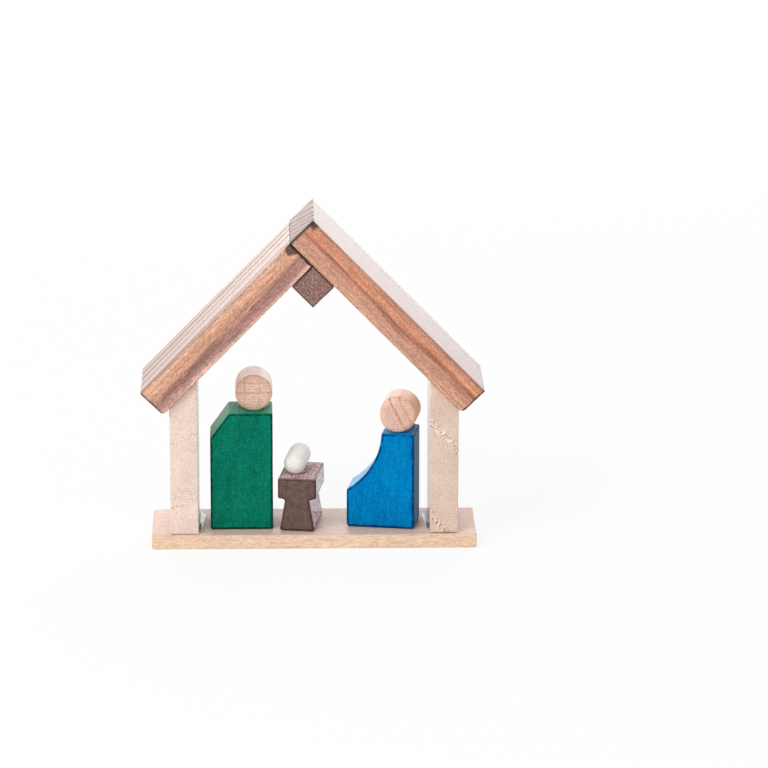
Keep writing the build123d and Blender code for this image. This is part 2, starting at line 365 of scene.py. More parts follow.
def roof_finish(name, slope, inward, bands, patch, top_colours, gloss, rings, scorched, lined_edges, seed):
    """Dark baked wood: streaks along the slope, a glossy top, scorched sawn ends, and painted shade as dark
    teeth along the ridge and in the corner where the boards meet.
    """
    fin = Finish(name)
    slope = Vector((slope.x, 0, slope.y))
    inward = Vector((inward.x, 0, inward.y))
    from_ridge = fin.vector("SUBTRACT", fin.place, (RIDGE.x, 0, RIDGE.y)).outputs[0]
    along = fin.dot(from_ridge, slope)
    through = fin.sum("DIVIDE", fin.dot(from_ridge, inward), BOARD_THICKNESS)
    drawn = fin.stretched(slope, 0.07, seed)
    colour, spots = roof_front(fin, through, slope, drawn, bands, patch)
    top_colour, ring = roof_top(fin, along, drawn, top_colours, rings)
    end_colour, end_ring = roof_end(fin, through, inward)
    top = fin.mark("top")
    end = fin.times(top, fin.rise(along, 0.4, 0.15))
    colour = fin.mix(colour, top_colour, fin.times(top, 0.95))
    colour = fin.mix(colour, end_colour, end)

    worn = fin.sum("MULTIPLY_ADD", fin.noise(fin.place, 1.2, 3.0), 1.2, -0.6)
    edge = fin.rise(fin.sum("ADD", fin.mark("edge"), worn), 0.75, 1.2)
    colour = fin.mix(colour, tone(104, 64, 50), fin.times(edge, fin.rest(top), 0.2))
    burn = fin.rise(fin.sum("ADD", fin.mark("burn"), fin.times(worn, 0.3)), 0.3, 0.62)
    colour = fin.mix(colour, tone(60, 46, 48), fin.times(burn, 0.85))
    flat = fin.vector("MULTIPLY", fin.place, (1, 0, 1)).outputs[0]
    # Painted shade: dark teeth where the end rings meet the given edges, standing in for the shade of the
    # ring grooves at the ridge and of the inner corner at the boards' seam.
    for line, share in lined_edges:
        away = fin.vector("DISTANCE", flat, (line.x, 0, line.y)).outputs["Value"]
        shade_teeth = fin.rise(fin.sum("SUBTRACT", fin.times(end_ring, 0.45), away), 0.0, 0.2)
        colour = fin.mix(colour, tone(58, 46, 50), fin.times(shade_teeth, share))
    for point, radius in scorched:
        blot = fin.blot((point.x, -ROOF_DEPTH / 2, point.y), radius)
        colour = fin.mix(colour, tone(58, 44, 50), fin.times(blot, 0.85))
    fin.set(Base_Color=colour, Roughness=0.4, IOR=1.3, Specular_IOR_Level=0.4)
    sheen = fin.times(top, fin.rest(end), fin.sum("MULTIPLY_ADD", ring, -0.6, 1.0), gloss)
    fin.set(Coat_Weight=sheen, Coat_Roughness=0.25, Coat_IOR=1.8)
    fin.relief(spots, 0.04, fin.sum("MULTIPLY_ADD", top, -0.9, 0.9))
    return fin.material


def beam_finish():
    """Grey-brown stained rod, speckled on its ends."""
    fin = Finish("grey_brown_rod")
    drawn = fin.stretched(BACK, 0.08)
    colour = fin.ramp(fin.noise(drawn, 0.6), (0.3, tone(151, 115, 107)), (0.7, tone(163, 128, 119)))
    spots = fin.speckle(drawn, 4.3, 0.1)
    colour = fin.toned(colour, spots, 0.6)
    colour = fin.mix(colour, tone(84, 62, 58), fin.times(fin.rise(fin.mark("edge"), 0.5, 1.0), 0.6))
    fin.set(Base_Color=colour, Roughness=0.5, IOR=1.3)
    fin.relief(spots, 0.04)
    return fin.material


def stain_finish(name, deep, light, fleck, edge_colour, thin_stain_and_sheen, seed):
    """Wood stained through: a fine weave of fibres, stain gathered on the edges, and on top a paler colour
    that stands partly for stain worn down and partly for a painted sheen.
    """
    fin = Finish(name)
    cloud = fin.stretched(UP, 0.3, seed)
    colour = fin.ramp(fin.noise(cloud, 0.4, 3.0, 0.6), (0.3, deep), (0.7, light))
    spots = fin.speckle(fin.place, 3.8)
    colour = fin.toned(colour, fin.speckle(fin.stretched(UP, 0.15), 3.4), 0.18)
    colour = fin.toned(colour, fin.speckle(fin.stretched(ACROSS, 0.2), 3.4), 0.13)
    colour = fin.toned(colour, spots, 0.25)
    flecks = fin.rise(fin.noise(fin.stretched(UP, 0.6), 4.2, 2.0, 0.6), 0.6, 0.7)
    colour = fin.mix(colour, fleck, fin.times(flecks, 0.6))
    # Paler on top: partly stain worn down, partly a painted sheen where the top faces catch the light.
    rubbed_and_sheen_mask = fin.rise(fin.sum("ADD", spots, fin.noise(fin.place, 0.8, 3.0)), 0.4, 1.3)
    colour = fin.mix(colour, thin_stain_and_sheen, fin.times(fin.mark("top"), rubbed_and_sheen_mask))
    uneven = fin.sum("MULTIPLY_ADD", fin.noise(fin.place, 1.1), 0.8, -0.4)
    edge = fin.rise(fin.sum("ADD", fin.mark("edge"), uneven), 0.68, 1.05)
    bright = fin.rest(fin.mark("dull"))
    colour = fin.mix(colour, edge_colour, fin.times(edge, bright, 0.9))
    gloss = fin.times(fin.mark("side"), bright)
    fin.set(Base_Color=colour, Roughness=0.35, IOR=1.2)
    fin.set(Specular_IOR_Level=fin.sum("MULTIPLY_ADD", gloss, 0.4, 0.1))
    fin.set(Coat_Weight=fin.times(gloss, 0.5), Coat_Roughness=0.3, Coat_IOR=1.2)
    fin.relief(spots, 0.03)
    return fin.material


def manger_finish():
    """Dark brown stain on a coarse block, worn down on top, and glossy on the sides, where their pale pink
    colour is a painted reflection.
    """
    fin = Finish("dark_brown_stain")
    drawn = fin.stretched(BACK, 0.4)
    spots = fin.speckle(drawn, 3.8)
    colour = fin.ramp(fin.noise(drawn, 0.9, 3.0), (0.3, tone(105, 83, 78)), (0.7, tone(124, 99, 93)))
    colour = fin.toned(colour, spots, 0.3)
    top = fin.mark("top")
    fine_grit = fin.speckle(drawn, 4.6, 0.2)
    shades = (0.1, tone(112, 88, 88)), (0.5, tone(188, 156, 153)), (0.9, tone(255, 226, 216))
    colour = fin.mix(colour, fin.ramp(fine_grit, *shades), fin.times(top, 0.95))
    grit = fin.speckle(fin.stretched(BACK, 0.25), 3.2, 0.13)
    glossy = fin.times(fin.mark("side"), fin.rest(top), fin.rise(grit, 0.1, 0.5))
    # Painted reflection: the flanks are mixed towards a pale pink, as their grazing gloss shows it; the
    # same mask sets the coat.
    colour = fin.mix(colour, tone(246, 208, 216), fin.times(glossy, 0.95))
    colour = fin.mix(colour, tone(58, 42, 40), fin.times(fin.rise(fin.mark("edge"), 0.65, 1.0), 0.5))
    fin.set(Base_Color=colour, Roughness=0.35, IOR=1.2, Specular_IOR_Level=0.1)
    fin.set(Coat_Weight=glossy, Coat_Roughness=0.2, Coat_IOR=1.9)
    fin.relief(spots, 0.04)
    return fin.material


def dowel_finish(
    name, middle, across, face_colours, rim_colour, sheen_side_colours, sheen_side_share, strokes, rows, seed
):
    """Beech dowel: sides painted pale as a painted sheen, with painted highlights at their flanks, and on
    the sawn ends its rings and rays as reddish lines.

    A stroke is a way across and up, how far out it lies along that way, its half width and its share.
    """
    fin = Finish(name)
    out, up = fin.out_and_up(middle, across)
    flat = fin.add("ShaderNodeCombineXYZ", X=out, Y=up, Z=seed).outputs[0]
    spots = fin.speckle(flat, 3.6)
    deep, light = face_colours
    colour = fin.ramp(fin.noise(flat, 0.5), (0.3, deep), (0.7, light))
    colour = fin.toned(colour, spots, 0.18)
    away = fin.vector("LENGTH", fin.vector("MULTIPLY", flat, (1, 1, 0)).outputs[0]).outputs["Value"]
    ragged = fin.sum("MULTIPLY_ADD", fin.noise(flat, 0.6), 2.0, -1.0)
    colour = fin.mix(colour, rim_colour, fin.times(fin.rise(fin.sum("ADD", away, ragged), 1.9, 3.2), 0.7))
    dots = fin.speckle(fin.vector("MULTIPLY", flat, (1, 0.3, 1)).outputs[0], 3.4, 0.1)
    row_gap, row_share = rows
    row = fin.rise(fin.sum("PINGPONG", fin.sum("DIVIDE", up, row_gap), 0.5), 0.22, 0.42)
    colour = fin.mix(colour, tone(206, 122, 92), fin.times(row, dots, row_share))
    sway = fin.sum("MULTIPLY_ADD", fin.noise(flat, 0.5), 0.5, -0.25)
    for way, at, half_width, share in strokes:
        level = fin.sum("ADD", fin.sum("ADD", fin.times(out, way[0]), fin.times(up, way[1])), sway)
        line = fin.times(fin.stroke(level, at, half_width), fin.sum("MULTIPLY_ADD", dots, 0.6, 0.4))
        colour = fin.mix(colour, tone(190, 104, 76), fin.times(line, share))
    pores = fin.rise(fin.noise(flat, 4.2, 2.0, 0.6), 0.62, 0.7)
    colour = fin.mix(colour, tone(160, 112, 94), fin.times(pores, 0.4))
    # Painted sheen: the sides are mixed to a pale colour, palest towards both flanks as painted highlights.
    side = fin.mark("side")
    pale, deep = sheen_side_colours
    sheen_side_colour = fin.mix(pale, deep, fin.stroke(out, 0.2, 2.0))
    colour = fin.mix(colour, sheen_side_colour, fin.times(side, sheen_side_share))
    fin.set(Base_Color=colour, Roughness=0.5, Specular_IOR_Level=0.3)
    fin.set(Coat_Weight=fin.times(side, 0.25), Coat_Roughness=0.3, Coat_IOR=1.3)
    fin.relief(spots, 0.03)
    return fin.material


def infant_finish(middle, across):
    """Thin white paint over wood, with the end grain's rings showing through."""
    fin = Finish("white_paint")
    out, up = fin.out_and_up(middle, across)
    brush = fin.noise(fin.stretched(BACK, 0.3), 1.8, 4.0, 0.65)
    shades = (0.3, tone(244, 235, 226)), (0.55, tone(250, 244, 238)), (0.75, tone(255, 252, 248))
    colour = fin.ramp(brush, *shades)
    above = fin.sum("SUBTRACT", up, -0.7)
    away = fin.sum("SQRT", fin.sum("ADD", fin.times(out, out, 0.6), fin.times(above, above)))
    level = fin.sum("MULTIPLY_ADD", brush, 0.8, fin.sum("DIVIDE", away, 0.5))
    contour = fin.rise(fin.sum("PINGPONG", level, 0.5), 0.2, 0.45)
    low = fin.rise(up, 0.8, -0.4)
    colour = fin.mix(colour, tone(196, 180, 164), fin.times(contour, low, fin.rise(brush, 0.3, 0.55), 0.4))
    blush = fin.times(fin.stroke(out, -0.9, 0.5), fin.stroke(up, 1.5, 0.5))
    colour = fin.mix(colour, tone(240, 196, 180), fin.times(blush, 0.3))
    fin.set(Base_Color=colour, Roughness=0.6, Subsurface_Weight=0.6, Subsurface_Radius=(1.0, 1.0, 1.0))
    fin.set(Subsurface_Scale=2.0 * MM, Specular_IOR_Level=0.2)
    fin.set(Sheen_Weight=0.7, Sheen_Roughness=0.5, Sheen_Tint=tone(255, 250, 244))
    fin.relief(brush, 0.03)
    return fin.material


def clear_glue_finish():
    """Clear set glue, wet-looking, folded along the bead, with its highlights and dark reflections painted
    as white and grey streaks.
    """
    fin = Finish("clear_glue")
    folds_and_glints = fin.noise(fin.stretched(BACK, 0.15), 1.6, 1.0)
    # Painted highlights and reflections: grey to white streaks along the bead.
    colour = fin.ramp(folds_and_glints, (0.4, tone(176, 160, 152)), (0.55, tone(255, 252, 250)))
    fin.set(Base_Color=colour, Roughness=0.12, IOR=1.4, Transmission_Weight=0.5)
    fin.relief(folds_and_glints, 0.1)
    return fin.material


def white_glue_finish():
    """White glue specks, set glossy at the heads."""
    fin = Finish("white_glue")
    fin.set(Base_Color=tone(250, 252, 246), Roughness=0.2)
    return fin.material


# Geometry Nodes: wood sanded off a block, and specks of glue


def new_tree(name, output, **inputs):
    """A tree with named inputs, each with the kind of its socket. Gives the calls that add nodes to it."""
    tree = bpy.data.node_groups.new(name, "GeometryNodeTree")
    for key, kind in inputs.items():
        label = key.replace("_", " ").capitalize()
        tree.interface.new_socket(name=label, in_out="INPUT", socket_type="NodeSocket" + kind)
    tree.interface.new_socket(name=output, in_out="OUTPUT", socket_type="NodeSocketGeometry")
    return Nodes(tree)


def end_tree(nodes, output, geometry, finish):
    """Ends a tree: its instances become real, and the finish is set."""
    whole = nodes.add("GeometryNodeRealizeInstances", Geometry=geometry)
    finished = nodes.add("GeometryNodeSetMaterial", Geometry=whole.outputs[0], Material=finish)
    nodes.add("NodeGroupOutput", **{output: finished.outputs[0]})
    return nodes.tree


def ring_lines(nodes, place, way, gap, wander, seed):
    """Growth rings that follow each other along a way: 1 on a ring, and 0 half way to the next."""
    sway = nodes.sum("MULTIPLY_ADD", nodes.noise(place, 0.06, 1.0), wander, seed)
    along = nodes.sum("ADD", nodes.sum("DIVIDE", nodes.dot(place, way), gap), sway)
    uneven = nodes.sum("MULTIPLY_ADD", nodes.line_noise(along, 1.0), 0.9, along)
    return nodes.sum("MULTIPLY", nodes.sum("PINGPONG", uneven, 0.5), 2.0)


def sanded_grain_tree():
    """Takes a little wood off a block, in lines along its rings and in slow hollows."""
    nodes = new_tree(
        "sanded_grain",
        "Sanded",
        block="Geometry",
        ring_way="Vector",
        ring_gap="Float",
        groove_depth="Float",
        wander="Float",
        hollow_depth="Float",
        seed="Float",
        finish="Material",
    )
    given = nodes.add("NodeGroupInput").outputs
    seed = given["Seed"]
    place = nodes.scaled(nodes.add("GeometryNodeInputPosition").outputs[0], 1 / MM)
    rings = ring_lines(nodes, place, given["Ring way"], given["Ring gap"], given["Wander"], seed)
    groove = nodes.sum("MULTIPLY", nodes.rise(rings, 0.3, 0.9), given["Groove depth"])
    shift = nodes.add("ShaderNodeCombineXYZ", X=seed, Y=seed, Z=seed).outputs[0]
    seeded = nodes.vector("ADD", place, shift).outputs[0]
    hollow = nodes.sum("MULTIPLY", nodes.noise(seeded, 0.12), given["Hollow depth"])
    taken = nodes.sum("MULTIPLY", nodes.sum("ADD", groove, hollow), -MM)
    offset = nodes.scaled(nodes.add("GeometryNodeInputNormal").outputs[0], taken)
    moved = nodes.add("GeometryNodeSetPosition", Geometry=given["Block"], Offset=offset)
    return end_tree(nodes, "Sanded", moved.outputs[0], given["Finish"])


SPECK_LEAST, SPECK_MOST = (0.4, 0.4, 0.35), (1.2, 1.2, 0.8)


def glue_specks_tree():
    """Small drops of glue along a line, each of its own size and a little off the line."""
    nodes = new_tree(
        "glue_specks",
        "Specks",
        line="Geometry",
        speck_radius="Float",
        spread="Float",
        seed="Int",
        finish="Material",
    )
    given = nodes.add("NodeGroupInput").outputs
    spread = nodes.scaled((1, 1, 0), given["Spread"])
    drawn = []
    for least, most in ((nodes.scaled(spread, -1), spread), (SPECK_LEAST, SPECK_MOST)):
        draw = nodes.add("FunctionNodeRandomValue", {"data_type": "FLOAT_VECTOR"}, Seed=given["Seed"])
        nodes.feed(draw.inputs[0], least)
        nodes.feed(draw.inputs[1], most)
        drawn.append(draw.outputs[0])
    stray, size = drawn
    line = nodes.add("GeometryNodeSetPosition", Geometry=given["Line"], Offset=stray)
    drop = nodes.add("GeometryNodeMeshIcoSphere", Radius=given["Speck radius"], Subdivisions=2)
    drops = nodes.add("GeometryNodeInstanceOnPoints", Points=line.outputs[0], Instance=drop.outputs[0])
    nodes.feed(drops.inputs["Scale"], size)
    return end_tree(nodes, "Specks", drops.outputs[0], given["Finish"])


def worked(piece, tree, **inputs):
    """Runs a tree on a piece, and keeps the result as its plain mesh."""
    modifier = piece.modifiers.new("work", "NODES")
    modifier.node_group = tree
    for item in tree.interface.items_tree:
        key = item.name.lower().replace(" ", "_")
        if item.in_out == "INPUT" and key in inputs:
            modifier[item.identifier] = inputs[key]
    evaluated = piece.evaluated_get(bpy.context.evaluated_depsgraph_get())
    mesh = bpy.data.meshes.new_from_object(evaluated)
    piece.modifiers.remove(modifier)
    piece.data = mesh
    mesh.shade_smooth()
    return piece


def new_piece(name, points, faces, **marks):
    """A mesh object from points in millimetres, with a value at each point for each mark."""
    mesh = bpy.data.meshes.new(name)
    mesh.from_pydata([tuple(p * MM) for p in points], [], faces)
    mesh.validate()
    for mark, values in marks.items():
        layer = mesh.attributes.new(mark, "FLOAT", "POINT")
        layer.data.foreach_set("value", np.asarray(values, np.float32))
    piece = bpy.data.objects.new(name, mesh)
    scene.collection.objects.link(piece)
    return piece


def front_place(x, y, z=0.0, turn=0.0):
    """Frame of a block that faces the front: across, up and back, turned clockwise as seen from above."""
    angle = math.radians(turn)
    place = Matrix.Identity(4)
    place.col[0][:3] = (math.cos(angle), -math.sin(angle), 0)
    place.col[1][:3] = (0, 0, 1)
    place.col[2][:3] = (math.sin(angle), math.cos(angle), 0)
    place.col[3][:3] = (x, y, z)
    return np.array(place)


# Blocks: an outline sawn back by a depth, with its edges rounded

REAL_CORNER = math.radians(25)
STRAIGHT_ON = 0.02
ARC_STEP = math.radians(18)

# The rim: steps round it, the share of a corner's radius that it may take, and how it eases off from there
RIM_STEP, RIM_SHARE, RIM_EASE = 0.15, 0.9, 0.35

# The loose grid on a sawn face: rows, stray and clearance from the rim, as shares of its gap
GRID_ROW, GRID_STRAY, GRID_CLEARANCE = 0.87, 0.15, 0.6

# How far from an edge its marks fade, how near a point is on a run, and how much of a burn the sides lose
EDGE_FADE, ON_RUN, SIDE_BURN_LOSS = 0.5, 0.12, 0.85
FAR_FROM_CORNERS = 99.0


def rounded_outline(corners, gap):
    """Points along a closed outline given counter-clockwise as (across, up, corner radius).

    With each point comes the radius that its corner allows for the rim, and whether it lies on a corner.
    """
    runs = []
    count = len(corners)
    for index, (across, up, radius) in enumerate(corners):
        here = Vector((across, up))
        way_in = (here - Vector(corners[index - 1][:2])).normalized()
        way_out = (Vector(corners[(index + 1) % count][:2]) - here).normalized()
        turn = math.atan2(way_in.x * way_out.y - way_in.y * way_out.x, way_in.dot(way_out))
        on_corner = abs(turn) > REAL_CORNER
        if radius <= 0 or abs(turn) < STRAIGHT_ON:
            runs.append([(here, math.inf, on_corner)])
            continue
        start = here - way_in * (radius * math.tan(abs(turn) / 2))
        side = math.copysign(1, turn)
        centre = start + Vector((-way_in.y, way_in.x)) * (radius * side)
        steps = max(3, round(abs(turn) / ARC_STEP))
        allowed = radius * RIM_SHARE if turn > 0 else math.inf
        run = []
        for step in range(steps + 1):
            arm = (start - centre).copy()
            arm.rotate(Matrix.Rotation(turn * step / steps, 2))
            run.append((centre + arm, allowed, on_corner))
        runs.append(run)
    points = []
    for index, run in enumerate(runs):
        points.extend(run)
        end, start = run[-1][0], runs[(index + 1) % count][0][0]
        pieces = max(1, round((start - end).length / gap))
        for step in range(1, pieces):
            points.append((end.lerp(start, step / pieces), math.inf, False))
    outline = np.array([tuple(p) for p, _, _ in points])
    return outline, np.array([a for _, a, _ in points]), np.array([c for _, _, c in points])


def inner_points(ring, gap, seed):
    """Points inside a ring, on a loose grid, and how far each is from the ring."""
    draw = random.Random(seed)
    low, high = ring.min(0), ring.max(0)
    found = []
    for row in range(int((high[1] - low[1]) / (gap * GRID_ROW)) + 1):
        for column in range(int((high[0] - low[0]) / gap) + 1):
            shift = 0.5 * (row % 2)
            across = low[0] + (column + shift + draw.uniform(-GRID_STRAY, GRID_STRAY)) * gap
            found.append((across, low[1] + (row * GRID_ROW + draw.uniform(-GRID_STRAY, GRID_STRAY)) * gap))
    found = np.array(found)
    ahead = np.roll(ring, -1, axis=0)
    inside = np.zeros(len(found), bool)
    for (x0, y0), (x1, y1) in zip(ring, ahead):
        crosses = (y0 > found[:, 1]) != (y1 > found[:, 1])
        at = (x1 - x0) * (found[:, 1] - y0) / (y1 - y0 if y1 != y0 else 1) + x0
        inside ^= crosses & (found[:, 0] < at)
    found = found[inside]
    reach = np.array([np.hypot(*(ring - p).T).min() for p in found])
    clear = reach > gap * GRID_CLEARANCE
    return found[clear], reach[clear]


def block_rows(rims, rim, depth, row_gap, corner_gap):
    """Rows of points around a block from front to back, and how many of them make up each rim.

    A row has the points' distances in from the outline, back from the front, and from the nearest edge.
    """
    on_edge = np.zeros(len(rims))
    front = []
    for angle in np.linspace(0, math.pi / 2, max(4, round(rim / RIM_STEP)) + 1):
        front.append((rims * (1 - math.sin(angle)), rims * (1 - math.cos(angle)), on_edge))
    wall = []
    wall_rows = max(2, round(depth / row_gap))
    for row in range(1, wall_rows):
        back = rims + (depth - 2 * rims) * row / wall_rows
        to_rim = np.minimum(back - rims, depth - rims - back)
        wall.append((np.zeros(len(rims)), back, np.minimum(corner_gap, to_rim)))
    behind = [(inset, depth - back, to_edge) for inset, back, to_edge in reversed(front)]
    return front + wall + behind, len(front)


def side_faces(row_count, count):
    """Faces between rows of points around a block."""
    faces = []
    for row in range(row_count - 1):
        here, ahead = row * count, (row + 1) * count
        for i in range(count):
            j = (i + 1) % count
            faces.append((here + i, ahead + i, ahead + j, here + j))
    return faces


def cap_faces(ring, inner, row_count):
    """Triangles over a block's front, and the same ones turned round over its back.

    The block's points are its rows, then the inner points of the front, then those of the back.
    """
    count = len(ring)
    points = [Vector(p) for p in np.concatenate([ring, inner])]
    ring_edges = [(i, (i + 1) % count) for i in range(count)]
    _, _, triangles, came_from, _, _ = delaunay_2d_cdt(points, ring_edges, [], 1, 1e-6)
    front_start = row_count * count
    back_start = front_start + len(inner)
    last_row = front_start - count
    faces = []
    for triangle in triangles:
        corner_ids = [came_from[i][0] for i in triangle]
        front = [i if i < count else front_start + i - count for i in corner_ids]
        back = [last_row + i if i < count else back_start + i - count for i in corner_ids]
        faces.append(tuple(front))
        faces.append(tuple(reversed(back)))
    return faces


def distance_to_run(points, corners, run):
    """How far points lie from a straight run of an outline, from one corner to the next."""
    start = np.array(corners[run][:2], float)
    way = np.array(corners[(run + 1) % len(corners)][:2], float) - start
    share = np.clip(((points - start) @ way) / (way @ way), 0, 1)
    return np.hypot(*(points - start - share[:, None] * way).T)


def marked_runs(points, corners, runs):
    """A mark on points that lie on runs of an outline, each given with its share."""
    marked = np.zeros(len(points))
    for run, share in runs:
        marked = np.maximum(marked, share * (distance_to_run(points, corners, run) < ON_RUN))
    return marked


def sanded_block(
    name, place, corners, depth, rim,
    gap=0.4, row_gap=0.5, face_gap=0.35, burnt=(), top=(), dull=(), low_cut=None,
):
    """A block sawn along an outline, with a rounded rim front and back.

    It carries the marks edge (1 on an edge, fading from there), burn (near the outline's runs named in
    burnt), top and dull (on the runs named in top and dull, each with its share) and side (off the two
    sawn faces and their rims).
    """
    outline, allowed, on_corner = rounded_outline(corners, gap)
    count = len(outline)
    ahead, behind = np.roll(outline, -1, axis=0), np.roll(outline, 1, axis=0)
    steps = np.hypot(*(ahead - outline).T)
    along = np.concatenate([[0], np.cumsum(steps)[:-1]])
    apart = np.abs(along[:, None] - along[None, :])
    apart = np.minimum(apart, steps.sum() - apart)
    wanted = np.where(np.isinf(allowed), rim, allowed)
    rims = np.minimum(rim, (wanted[None, :] + RIM_EASE * apart).min(1))
    corner_gap = apart[:, on_corner].min(1) if on_corner.any() else np.full(count, FAR_FROM_CORNERS)
    tangent = ahead - behind
    normal = np.stack([tangent[:, 1], -tangent[:, 0]], 1) / np.hypot(*tangent.T)[:, None]

    rows, rim_rows = block_rows(rims, rim, depth, row_gap, corner_gap)
    insets, backs, to_edge = ([row[part] for row in rows] for part in range(3))
    flat = [outline - normal * inset[:, None] for inset in insets]
    inner, inner_gap = inner_points(flat[0], face_gap, len(name))
    faces = side_faces(len(rows), count) + cap_faces(flat[0], inner, len(rows))
    flat = np.concatenate(flat + [inner, inner])
    backs = np.concatenate(backs + [np.zeros(len(inner)), np.full(len(inner), depth)])
    edge = np.exp(-np.concatenate(to_edge + [inner_gap, inner_gap]) / EDGE_FADE)

    side = np.zeros(len(flat))
    side[rim_rows * count : (len(rows) - rim_rows) * count] = 1
    burn = np.zeros(len(flat))
    for run in burnt:
        burn = np.maximum(burn, np.exp(-distance_to_run(flat, corners, run) / EDGE_FADE))
    burn *= 1 - SIDE_BURN_LOSS * side
    on_top, on_dull = marked_runs(flat, corners, top), marked_runs(flat, corners, dull)
    if low_cut is not None:
        flat[:, 1] = np.maximum(flat[:, 1], low_cut)
    local = np.column_stack([flat, backs, np.ones(len(flat))])
    points = [Vector(p) for p in (local @ place.T)[:, :3]]
    return new_piece(name, points, faces, edge=edge, burn=burn, top=on_top, dull=on_dull, side=side)


SANDING = {"ring_gap": 2.0, "groove_depth": 0.02, "wander": 1.0, "hollow_depth": 0.08}
grain_tree = sanded_grain_tree()


def finish_block(piece, node, body, slot, finish, way, seed, **sanding):
    """Sands a block, gives it its finish and ties it to the frame in place of the CAD node."""
    worked(piece, grain_tree, ring_way=tuple(way), seed=seed, finish=finish, **{**SANDING, **sanding})
    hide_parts(node)
    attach(piece, body)


# Camera: fitted to the stable's edges in the photo

PITCH, YAW, ROLL = (math.radians(angle) for angle in (15.467, 1.532, 0.091))
TARGET = Vector((12.105, -7.6, 29.69)) * MM
DISTANCE = 758.2 * MM
FOCAL_PIXELS, PICTURE_PIXELS, SENSOR_WIDTH = 4385, 768, 36

camera = bpy.data.objects.new("camera", bpy.data.cameras.new("camera"))
scene.collection.objects.link(camera)
scene.camera = camera
ahead = Vector((math.sin(YAW) * math.cos(PITCH), math.cos(YAW) * math.cos(PITCH), -math.sin(PITCH)))
level = Vector((math.cos(YAW), -math.sin(YAW), 0))
upright = level.cross(ahead)
across = level * math.cos(ROLL) + upright * math.sin(ROLL)
turned = Matrix((across, across.cross(ahead), -ahead)).transposed().to_4x4()
camera.matrix_world = Matrix.Translation(TARGET - ahead * DISTANCE) @ turned
camera.data.sensor_width = SENSOR_WIDTH
camera.data.lens = SENSOR_WIDTH * FOCAL_PIXELS / PICTURE_PIXELS

# Base plate

base_low, base_high = (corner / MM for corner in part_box("base_plate"))
base = sanded_block(
    "base_board",
    front_place(0, -BASE_DEPTH / 2),
    [
        (base_low.x, 0, BASE_FOOT_ROUND),
        (base_high.x, 0, BASE_FOOT_ROUND),
        (base_high.x, BASE_TOP, BASE_TOP_ROUND),
        (base_low.x, BASE_TOP, BASE_TOP_ROUND),
    ],
    BASE_DEPTH,
    BASE_RIM,
)
finish_block(base, "base_plate", "stable", "pale_wood", base_finish(), UP, seed=3.0, hollow_depth=0.05)

# Posts


def post(name, deep, light, slant, rows, grit, seed):
    """A bar cut square at the foot, and at the top to the roof's slope."""
    low, high = (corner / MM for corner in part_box(name))
    short = high.z - (high.x - low.x) * math.tan(ROOF_PITCH)
    left_top, right_top = (short, high.z) if low.x < 0 else (high.z, short)
    section = ((low.x, low.z), (high.x, low.z), (high.x, right_top), (low.x, left_top))
    bar = sanded_block(
        name + "_bar",
        front_place(0, -POST_DEPTH / 2),
        [(*corner, POST_ROUND) for corner in section],
        POST_DEPTH,
        POST_RIM,
    )
    finish = post_finish("pale_" + name + "_wood", deep, light, slant, rows, grit, seed)
    finish_block(bar, name, "stable", "pale_wood", finish, UP, seed=seed, hollow_depth=0.06)


post(
    "left_post",
    deep=tone(232, 206, 190),
    light=tone(242, 222, 208),
    slant=-25,
    rows=((27.6, 0.4, 0.8), (17.2, 0.35, 0.9), (18.6, 0.8, 0.4)),
    grit=0.1,
    seed=5.0,
)
post(
    "right_post",
    deep=tone(220, 192, 174),
    light=tone(231, 206, 189),
    slant=50,
    rows=((30.3, 0.95, 1.0), (19.5, 0.95, 1.0)),
    grit=0.15,
    seed=9.0,
)

# Roof boards: runs of their outlines, and the wood's bands through each board from the top

BOARD_ENDS = (1, 3)
BOARD_TOP, RIDGE_END = (2, 1.0), (3, 1.0)
RIGHT_BANDS = (
    (0.0, tone(188, 130, 106)),
    (0.08, tone(204, 143, 117)),
    (0.20, tone(212, 150, 121)),
    (0.32, tone(234, 160, 122)),
    (0.43, tone(176, 112, 91)),
    (0.53, tone(208, 151, 127)),
    (0.75, tone(210, 156, 130)),
    (1.0, tone(218, 168, 144)),
)
LEFT_BANDS = (
    (0.0, tone(210, 158, 132)),
    (0.10, tone(232, 180, 152)),
    (0.24, tone(227, 173, 145)),
    (0.42, tone(214, 160, 135)),
    (0.54, tone(180, 134, 120)),
    (0.70, tone(172, 128, 117)),
    (0.77, tone(188, 142, 129)),
    (0.85, tone(228, 183, 167)),
    (1.0, tone(232, 186, 165)),
)
RIGHT_RINGS = tuple((at, 0.7, 0.35) for at in END_LEVELS)
LEFT_RINGS = ((-6.2, 1.6, 1.0), (-1.4, 1.4, 0.8), (2.5, 1.3, 0.95), (5.8, 1.2, 1.0), (8.9, 1.0, 0.7))


def roof_board(name, corners, top, groove, seed, **wood):
    """A thick board of the roof, grooved along its rings."""
    plank = sanded_block(
        name + "_plank",
        front_place(0, -ROOF_DEPTH / 2),
        [(point.x, point.y, radius) for point, radius in corners],
        ROOF_DEPTH,
        ROOF_RIM,
        gap=0.5,
        row_gap=0.2,
        burnt=BOARD_ENDS,
        top=top,
    )
    finish = roof_finish("baked_" + name, seed=seed, **wood)
    sanding = {"ring_gap": RING_GAP, "groove_depth": groove, "wander": RING_WANDER}
    finish_block(plank, name, "stable", "brown_wood", finish, BACK, seed=seed, **sanding)


